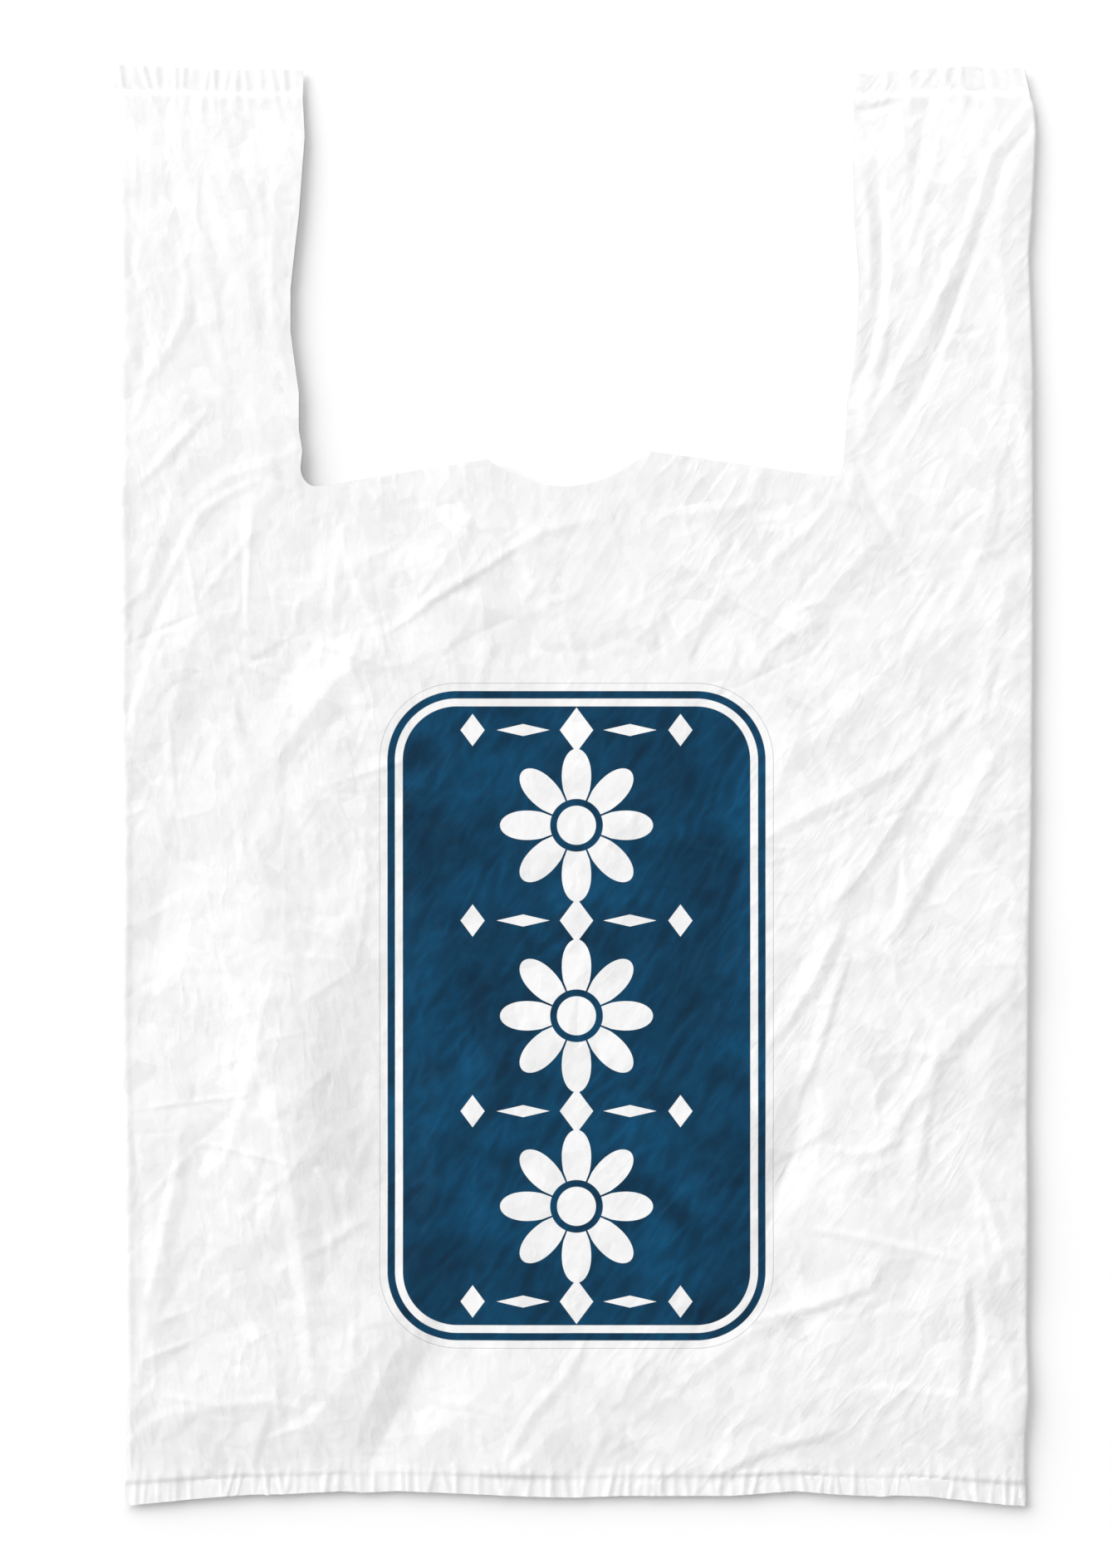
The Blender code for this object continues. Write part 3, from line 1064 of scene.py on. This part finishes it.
    def thin_out(self, film: bpy.types.Object) -> None:
        """Close the tube and keep only the triangles that its creases need.

        Args:
            film: the film's object.
        """
        seam = film.modifiers.new("seam", "WELD")
        seam.merge_threshold = 1e-6
        fewer = film.modifiers.new("fewer", "DECIMATE")
        fewer.ratio = self.grid.triangles / (2 * len(film.data.polygons))
        evaluated = film.evaluated_get(bpy.context.evaluated_depsgraph_get())
        mesh = bpy.data.meshes.new_from_object(evaluated)
        film.modifiers.clear()
        rough, film.data = film.data, mesh
        bpy.data.meshes.remove(rough)
        mesh.name = self.NAME
        shape = bmesh.new()
        shape.from_mesh(mesh)
        bmesh.ops.dissolve_degenerate(shape, dist=0.1 * MM, edges=shape.edges)
        bmesh.ops.triangulate(shape, faces=[face for face in shape.faces if len(face.verts) > 4])
        shape.to_mesh(mesh)
        shape.free()

    def cut_area(self) -> float:
        """Return the flat area of the film that is left once the mouth is cut out."""
        x = np.linspace(-self.size.mouth_half_width, self.size.mouth_half_width, 801)
        depth = self.size.half_length - self.size.mouth_line(x)
        layers = np.where(np.abs(x) > self.size.half_width - self.size.gusset, 4, 2)
        lost = float(np.mean(depth * layers) * 2 * self.size.mouth_half_width)
        return self.girth * self.size.length - lost


class NodeSums:
    """Chains of math nodes in one material, written as sums."""

    def __init__(self, tree: bpy.types.NodeTree) -> None:
        """Keep the tree that the nodes go in.

        Args:
            tree: the material's node tree.
        """
        self.tree = tree

    def new(self, kind: str, **settings: object) -> bpy.types.Node:
        """Return a new node with its settings made.

        Args:
            kind: the node's type.
            **settings: its own properties.

        Returns:
            The node.
        """
        node = self.tree.nodes.new(kind)
        for name, value in settings.items():
            setattr(node, name, value)
        return node

    def put(self, socket: Socket, value: object) -> None:
        """Link a socket to another, or set its value."""
        if isinstance(value, Socket):
            self.tree.links.new(value, socket)
        else:
            socket.default_value = value

    def sum(self, operation: str, *values: object, clamp: bool = False) -> Socket:
        """Return what one math node gives.

        Args:
            operation: the node's operation.
            *values: numbers or sockets that it works on.
            clamp: whether the result is held between 0 and 1.

        Returns:
            The node's output.
        """
        node = self.new("ShaderNodeMath", operation=operation, use_clamp=clamp)
        for socket, value in zip(node.inputs, values):
            self.put(socket, value)
        return node.outputs[0]

    def under(self, value: Socket, limit: float, blur: float) -> Socket:
        """Return 1 where a value is under a limit and 0 where it is over, with a narrow blend."""
        node = self.new("ShaderNodeMapRange", interpolation_type="SMOOTHSTEP")
        for name, setting in (("Value", value), ("From Min", limit - blur), ("From Max", limit + blur)):
            self.put(node.inputs[name], setting)
        node.inputs["To Min"].default_value = 1
        node.inputs["To Max"].default_value = 0
        return node.outputs[0]

    def either(self, *masks: Socket) -> Socket:
        """Return the highest of some masks."""
        found = masks[0]
        for mask in masks[1:]:
            found = self.sum("MAXIMUM", found, mask)
        return found

    def noise(self, place: Socket, scale: float, detail: float, warp: float = 0) -> Socket:
        """Return plain noise, from 0 to 1.

        Args:
            place: where it is read.
            scale: how many ups and downs it has to a unit.
            detail: number of finer layers in it.
            warp: how far it is twisted.

        Returns:
            The noise.
        """
        node = self.new("ShaderNodeTexNoise")
        for name, value in (("Vector", place), ("Scale", scale), ("Detail", detail), ("Distortion", warp)):
            self.put(node.inputs[name], value)
        return node.outputs["Fac"]


@dataclass(frozen=True)
class PrintedPanel:
    """The ink on the front: a rounded panel with a border, a hairline round it and rosettes.

    Attributes:
        middle: the panel's middle on the bag.
        half: half its width and half its height.
        corner: radius of its corners.
        line: width of the outer line.
        inline: width of the bare line inside it.
        rosette: radius of a rosette.
        petals: petals in each rosette.
        step: distance between two rosettes.
        ink: the ink's colour.
        hair_gap: distance of the hairline outside the panel.
        hair: half the hairline's width.
        hair_blur: softness of its edges.
        hair_ink: how strongly it is inked, from 0 to 1.
    """

    middle: Point = (0.0006, -0.0799)
    half: Point = (0.0655, 0.1125)
    corner: float = 0.024
    line: float = 0.0026
    inline: float = 0.0027
    rosette: float = 0.0265
    petals: int = 8
    step: float = 0.066
    ink: tuple[float, float, float, float] = (0.0012, 0.047, 0.108, 1)
    hair_gap: float = 0.0027
    hair: float = 0.00010
    hair_blur: float = 0.00006
    hair_ink: float = 0.45

    BLUR = 0.00012

    def border(self, nodes: NodeSums, x: Socket, y: Socket) -> Socket:
        """Return the distance outside the panel's rounded edge, less than nothing inside it."""
        over_x = nodes.sum("SUBTRACT", nodes.sum("ABSOLUTE", x), self.half[0] - self.corner)
        over_y = nodes.sum("SUBTRACT", nodes.sum("ABSOLUTE", y), self.half[1] - self.corner)
        out_x = nodes.sum("MAXIMUM", over_x, 0)
        out_y = nodes.sum("MAXIMUM", over_y, 0)
        squares = nodes.sum("ADD", nodes.sum("MULTIPLY", out_x, out_x), nodes.sum("MULTIPLY", out_y, out_y))
        inside = nodes.sum("MINIMUM", nodes.sum("MAXIMUM", over_x, over_y), 0)
        return nodes.sum("SUBTRACT", nodes.sum("ADD", nodes.sum("SQRT", squares), inside), self.corner)

    def petal_flower(self, nodes: NodeSums, x: Socket, y: Socket) -> Socket:
        """Return a rosette about the origin, as a mask."""
        squares = nodes.sum("ADD", nodes.sum("MULTIPLY", x, x), nodes.sum("MULTIPLY", y, y))
        radius = nodes.sum("SQRT", squares)
        angle = nodes.sum("ARCTAN2", y, x)
        wave = nodes.sum("ABSOLUTE", nodes.sum("COSINE", nodes.sum("MULTIPLY", angle, self.petals / 2)))
        bulge = nodes.sum("POWER", wave, 0.75)
        reach = nodes.sum("MULTIPLY_ADD", bulge, 0.66 * self.rosette, 0.34 * self.rosette)
        petals = nodes.under(nodes.sum("SUBTRACT", radius, reach), 0, self.BLUR)
        eye = nodes.sum("ABSOLUTE", nodes.sum("SUBTRACT", radius, 0.3 * self.rosette))
        ring = nodes.under(eye, 0.045 * self.rosette, self.BLUR)
        rib = nodes.under(wave, 0.13, 0.01)
        beyond = nodes.sum("GREATER_THAN", radius, 0.3 * self.rosette)
        gaps = nodes.either(ring, nodes.sum("MULTIPLY", rib, beyond))
        return nodes.sum("SUBTRACT", petals, gaps, clamp=True)

    def diamond(self, nodes: NodeSums, x: Socket, y: Socket, half: Point) -> Socket:
        """Return a diamond about the origin, as a mask."""
        across = nodes.sum("DIVIDE", nodes.sum("ABSOLUTE", x), half[0])
        along = nodes.sum("DIVIDE", nodes.sum("ABSOLUTE", y), half[1])
        return nodes.under(nodes.sum("ADD", across, along), 1, self.BLUR / half[0])

    def motifs(self, nodes: NodeSums, x: Socket, y: Socket) -> Socket:
        """Return every bare figure inside the panel, as one mask."""
        near = nodes.sum("WRAP", y, self.step / 2, -self.step / 2)
        between = nodes.sum("WRAP", nodes.sum("ADD", y, self.step / 2), self.step / 2, -self.step / 2)
        in_column = nodes.under(nodes.sum("ABSOLUTE", y), 1.48 * self.step, self.BLUR)
        flower = nodes.sum("MULTIPLY", self.petal_flower(nodes, x, near), in_column)
        side = nodes.sum("SUBTRACT", nodes.sum("ABSOLUTE", x), 0.036)
        large = self.diamond(nodes, x, between, (0.0058, 0.0078))
        small = self.diamond(nodes, side, between, (0.0042, 0.0056))
        beside = nodes.sum("SUBTRACT", nodes.sum("ABSOLUTE", x), 0.0185)
        leaf = self.diamond(nodes, beside, between, (0.0092, 0.0021))
        return nodes.either(flower, large, small, leaf)

    def mask(self, nodes: NodeSums, x: Socket, y: Socket) -> Socket:
        """Return where the ink is, from 0 to 1.

        Args:
            nodes: the material's sums.
            x: place across the bag.
            y: place along it.

        Returns:
            The ink's mask.
        """
        x = nodes.sum("SUBTRACT", x, self.middle[0])
        y = nodes.sum("SUBTRACT", y, self.middle[1])
        edge = self.border(nodes, x, y)
        whole = nodes.under(edge, 0, self.BLUR)
        inner = nodes.under(edge, -self.line, self.BLUR)
        field = nodes.under(edge, -self.line - self.inline, self.BLUR)
        line = nodes.sum("SUBTRACT", whole, inner, clamp=True)
        bare = self.motifs(nodes, x, y)
        filled = nodes.sum("SUBTRACT", field, bare, clamp=True)
        off_hair = nodes.sum("ABSOLUTE", nodes.sum("SUBTRACT", edge, self.hair_gap))
        hair = nodes.under(off_hair, self.hair, self.hair_blur)
        return nodes.either(line, filled, nodes.sum("MULTIPLY", hair, self.hair_ink))


@dataclass(frozen=True)
class FilmFinish:
    """Thin white opaque film with a soft sheen.

    Attributes:
        white: colour of the bare film.
        roughness: roughness of the bare film.
        ink_roughness: roughness of the ink.
        wrinkle: depth of the finest, unordered wrinkles.
        crackle: depth of the fine wrinkles that follow the grain.
        crackles: width and slope of each size of the film's finest flat facets.
    """

    white: float = 0.860
    roughness: float = 0.48
    ink_roughness: float = 0.40
    wrinkle: float = 0.00008
    crackle: float = 0.00025
    crackles: tuple[tuple[float, float], ...] = ((0.0070, 0.042), (0.0028, 0.026))

    def material(self, girth: float, front: float, panel: PrintedPanel) -> bpy.types.Material:
        """Make the film's material, with the panel printed on it.

        Args:
            girth: size that the film's own map is scaled by.
            front: run round the film from the front's middle to its edge.
            panel: the print.

        Returns:
            The material.
        """
        made = bpy.data.materials.new("white_film")
        made.use_nodes = True
        nodes = NodeSums(made.node_tree)
        shader = made.node_tree.nodes["Principled BSDF"]
        flat = nodes.new("ShaderNodeUVMap", uv_map="flat")
        scaled = nodes.new("ShaderNodeVectorMath", operation="MULTIPLY_ADD")
        nodes.put(scaled.inputs[0], flat.outputs[0])
        scaled.inputs[1].default_value = (girth, girth, girth)
        scaled.inputs[2].default_value = (-girth / 2, -girth / 2, 0)
        place = scaled.outputs[0]
        parts = nodes.new("ShaderNodeSeparateXYZ")
        nodes.put(parts.inputs[0], nodes.new("ShaderNodeTexCoord").outputs["Object"])
        run = nodes.new("ShaderNodeSeparateXYZ")
        nodes.put(run.inputs[0], place)

        on_front = nodes.sum("LESS_THAN", nodes.sum("ABSOLUTE", run.outputs["X"]), front)
        ink = nodes.sum("MULTIPLY", panel.mask(nodes, parts.outputs["X"], parts.outputs["Y"]), on_front)
        cloud = nodes.noise(place, 26, 3)
        # Painted light: the bare film is made lighter towards the handles, as though more light fell on the
        # top of the bag.
        painted_top_light = nodes.sum("MULTIPLY_ADD", parts.outputs["Y"], 0.22, -0.022, clamp=True)
        tone = nodes.sum("ADD", nodes.sum("MULTIPLY_ADD", cloud, 0.02, self.white - 0.01), painted_top_light)
        bare = nodes.new("ShaderNodeCombineColor")
        for socket in bare.inputs:
            nodes.put(socket, tone)
        mix = nodes.new("ShaderNodeMix", data_type="RGBA")
        nodes.put(mix.inputs["Factor"], ink)
        nodes.put(mix.inputs["A"], bare.outputs[0])
        nodes.put(mix.inputs["B"], self.shaded_ink(nodes, place, panel.ink))
        nodes.put(shader.inputs["Base Color"], mix.outputs["Result"])

        rough = nodes.sum("MULTIPLY_ADD", ink, self.ink_roughness - self.roughness, self.roughness)
        blotch = nodes.sum("MULTIPLY_ADD", nodes.noise(place, 90, 2), 0.08, -0.04)
        nodes.put(shader.inputs["Roughness"], nodes.sum("ADD", rough, blotch))
        shader.inputs["Specular IOR Level"].default_value = 0.16
        nodes.put(shader.inputs["Normal"], self.relief(nodes, place))
        return made

    def shaded_ink(self, nodes: NodeSums, place: Socket, ink: tuple[float, ...]) -> Socket:
        """Return the ink's colour with painted shade and sheen: lighter and darker in broad patches and
        along the fine wrinkles.

        Args:
            nodes: the material's sums.
            place: place on the flat film.
            ink: the ink's own colour.

        Returns:
            The colour.
        """
        # Painted shade and sheen on the ink: broad patches and the fine wrinkles' pattern make it lighter
        # and darker, where light would fall unevenly on the creased film.
        painted_sheen_patches = nodes.sum("MULTIPLY_ADD", nodes.noise(place, 26, 5, 1.2), 2.0, 0.0)
        painted_crease_shade = nodes.sum("MULTIPLY_ADD", self.fibres(nodes, place, RIGHT_GRAIN), 0.6, 0.62)
        scaled = nodes.new("ShaderNodeVectorMath", operation="SCALE")
        scaled.inputs[0].default_value = ink[:3]
        nodes.put(scaled.inputs["Scale"], nodes.sum("MULTIPLY", painted_sheen_patches, painted_crease_shade))
        return scaled.outputs[0]

    def relief(self, nodes: NodeSums, place: Socket) -> Socket:
        """Return the normal of the film's finest wrinkles.

        Args:
            nodes: the material's sums.
            place: place on the flat film.

        Returns:
            The normal.
        """
        across = nodes.new("ShaderNodeSeparateXYZ")
        nodes.put(across.inputs[0], place)
        on_right = nodes.sum("MULTIPLY_ADD", across.outputs["X"], 12, 0.5, clamp=True)
        left = self.fibres(nodes, place, LEFT_GRAIN)
        right = self.fibres(nodes, place, RIGHT_GRAIN)
        both = nodes.sum("MULTIPLY_ADD", nodes.sum("SUBTRACT", right, left), on_right, left)
        patches = nodes.sum("MULTIPLY_ADD", nodes.noise(place, 30, 2, 0.4), 1.6, -0.3, clamp=True)
        fine = nodes.sum("MULTIPLY", nodes.sum("MULTIPLY", both, patches), self.crackle)
        wrinkles = nodes.sum("MULTIPLY", nodes.noise(place, 120, 3, 0.8), self.wrinkle)
        bump = nodes.new("ShaderNodeBump")
        bump.inputs["Strength"].default_value = 1
        bump.inputs["Distance"].default_value = 1
        nodes.put(bump.inputs["Height"], nodes.sum("ADD", fine, wrinkles))
        tilted = bump.outputs[0]
        for width, tilt in self.crackles:
            tilted = self.tilt(nodes, place, width, tilt, tilted)
        return tilted

    def tilt(
        self, nodes: NodeSums, place: Socket, width: float, tilt: float, normal: Socket
    ) -> Socket:
        """Tilt a normal at random from one small flat facet of the film to the next.

        Args:
            nodes: the material's sums.
            place: place on the flat film.
            width: usual width of a facet.
            tilt: usual slope of one.
            normal: the normal that is tilted.

        Returns:
            The tilted normal.
        """
        stray = nodes.new("ShaderNodeTexNoise")
        nodes.put(stray.inputs["Vector"], place)
        stray.inputs["Scale"].default_value = 0.35 / width
        stray.inputs["Detail"].default_value = 2
        bent = nodes.new("ShaderNodeVectorMath", operation="MULTIPLY_ADD")
        nodes.put(bent.inputs[0], stray.outputs["Color"])
        bent.inputs[1].default_value = (2.4 * width, 2.4 * width, 0)
        nodes.put(bent.inputs[2], place)
        turned = nodes.new("ShaderNodeMapping", vector_type="TEXTURE")
        grain = math.radians((LEFT_GRAIN.turn + RIGHT_GRAIN.turn) / 2)
        turned.inputs["Rotation"].default_value = (0, 0, grain)
        turned.inputs["Scale"].default_value = (1.7, 1, 1)
        nodes.put(turned.inputs["Vector"], bent.outputs[0])
        cells = nodes.new("ShaderNodeTexVoronoi", voronoi_dimensions="2D")
        nodes.put(cells.inputs["Vector"], turned.outputs[0])
        cells.inputs["Scale"].default_value = 1 / width
        leaning = nodes.new("ShaderNodeVectorMath", operation="MULTIPLY_ADD")
        nodes.put(leaning.inputs[0], cells.outputs["Color"])
        leaning.inputs[1].default_value = (2 * tilt, 2 * tilt, 0)
        leaning.inputs[2].default_value = (-tilt, -tilt, 0)
        total = nodes.new("ShaderNodeVectorMath", operation="ADD")
        nodes.put(total.inputs[0], normal)
        nodes.put(total.inputs[1], leaning.outputs[0])
        unit = nodes.new("ShaderNodeVectorMath", operation="NORMALIZE")
        nodes.put(unit.inputs[0], total.outputs[0])
        return unit.outputs[0]

    def fibres(self, nodes: NodeSums, place: Socket, grain: Grain) -> Socket:
        """Return fine sharp wrinkles drawn out along a grain.

        Args:
            nodes: the material's sums.
            place: place on the flat film.
            grain: direction of the wrinkles, and how much longer than wide they are.

        Returns:
            Their height, from about 0 to 1.
        """
        turned = nodes.new("ShaderNodeMapping", vector_type="TEXTURE")
        turned.inputs["Rotation"].default_value = (0, 0, math.radians(grain.turn))
        turned.inputs["Scale"].default_value = (grain.stretch * 1.6, 1, 1)
        nodes.put(turned.inputs["Vector"], place)
        ridges = nodes.new("ShaderNodeTexNoise", noise_type="RIDGED_MULTIFRACTAL")
        nodes.put(ridges.inputs["Vector"], turned.outputs[0])
        ridges.inputs["Scale"].default_value = 190
        ridges.inputs["Detail"].default_value = 2
        ridges.inputs["Roughness"].default_value = 0.45
        ridges.inputs["Offset"].default_value = 1
        ridges.inputs["Gain"].default_value = 1.5
        ridges.inputs["Distortion"].default_value = 0.3
        return nodes.sum("MULTIPLY", ridges.outputs["Fac"], 0.5)


@dataclass(frozen=True)
class Studio:
    """The floor, the light and the camera.

    Attributes:
        floor_size: width of the floor.
        lens: the camera's focal length, in millimetres.
        sensor: height of the sensor that the picture's height fills, in millimetres.
        view_height: stretch of floor that the picture's height shows.
        aim: place on the floor that the camera looks straight down at.
        fill: brightness of the light from all round.
        key: strength of the soft light from the upper left.
        key_spread: how wide that light looks from the bag, in degrees.
        key_from: direction that it comes from.
        top_power: power of the weak light beyond the handles, in watts.
        top_size: width of that light.
        top_from: where it stands.
    """

    floor_size: float = 12.0
    lens: float = 100.0
    sensor: float = 36.0
    view_height: float = 0.5447
    aim: Point = (-0.0065, 0.0004)
    fill: float = 0.54
    key: float = 3.28
    key_spread: float = 60.0
    key_from: tuple[float, float, float] = (-1.0, 0.85, 0.62)
    top_power: float = 3.6
    top_size: float = 0.8
    top_from: tuple[float, float, float] = (0.0, 1.3, 0.9)

    def floor(self) -> None:
        """Lay a plain pale floor under the bag."""
        shape = bmesh.new()
        bmesh.ops.create_grid(shape, x_segments=1, y_segments=1, size=self.floor_size / 2)
        mesh = bpy.data.meshes.new("floor")
        shape.to_mesh(mesh)
        shape.free()
        made = bpy.data.objects.new("floor", mesh)
        paint = bpy.data.materials.new("floor")
        paint.use_nodes = True
        shader = paint.node_tree.nodes["Principled BSDF"]
        shader.inputs["Base Color"].default_value = (0.97, 0.97, 0.97, 1)
        shader.inputs["Roughness"].default_value = 0.9
        shader.inputs["Specular IOR Level"].default_value = 0
        mesh.materials.append(paint)
        bpy.context.scene.collection.objects.link(made)

    def light(self) -> None:
        """Set the even light all round and the soft light from the upper left."""
        world = bpy.data.worlds.new("studio")
        world.use_nodes = True
        background = world.node_tree.nodes["Background"]
        background.inputs["Color"].default_value = (1, 1, 1, 1)
        background.inputs["Strength"].default_value = self.fill
        bpy.context.scene.world = world
        key = bpy.data.lights.new("key", "SUN")
        key.energy = self.key
        key.angle = math.radians(self.key_spread)
        self.hang(key, self.key_from)
        top = bpy.data.lights.new("top", "AREA")
        top.energy = self.top_power
        top.size = self.top_size
        self.hang(top, self.top_from)

    def hang(self, lamp: bpy.types.Light, place: tuple[float, float, float]) -> None:
        """Hang a lamp so that it points at the bag.

        Args:
            lamp: the lamp.
            place: where it hangs.
        """
        made = bpy.data.objects.new(lamp.name, lamp)
        made.location = place
        made.rotation_euler = (-Vector(place)).to_track_quat("-Z", "Y").to_euler()
        bpy.context.scene.collection.objects.link(made)

    def camera(self) -> None:
        """Hang the camera over the bag, looking straight down."""
        data = bpy.data.cameras.new("camera")
        data.lens = self.lens
        data.sensor_width = self.sensor
        made = bpy.data.objects.new("camera", data)
        made.location = (*self.aim, self.view_height * self.lens / self.sensor)
        bpy.context.scene.collection.objects.link(made)
        bpy.context.scene.camera = made
        bpy.context.scene.view_settings.view_transform = "Standard"

    def set_up(self) -> None:
        """Lay the floor, set the light and hang the camera."""
        self.floor()
        self.light()
        self.camera()


def main() -> None:
    """Build the bag's film, print it, and set up the studio."""
    logging.basicConfig(level=logging.INFO, format="%(message)s")
    low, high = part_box(NODE)
    size = BagSize(width=high[0] - low[0], length=high[1] - low[1])
    tube = FilmTube(size, TubeGrid())
    film = tube.build(FilmShape(size), Outline(size))
    film.data.materials.append(FilmFinish().material(tube.girth, size.half_width, PrintedPanel()))
    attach(film, BODY)
    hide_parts(NODE)
    tube.cut_area()
    log.info("film: %d faces, girth %.4f m", len(film.data.polygons), tube.girth)
    Studio().set_up()
    log.info("studio set up")


if __name__ == "__main__":
    main()
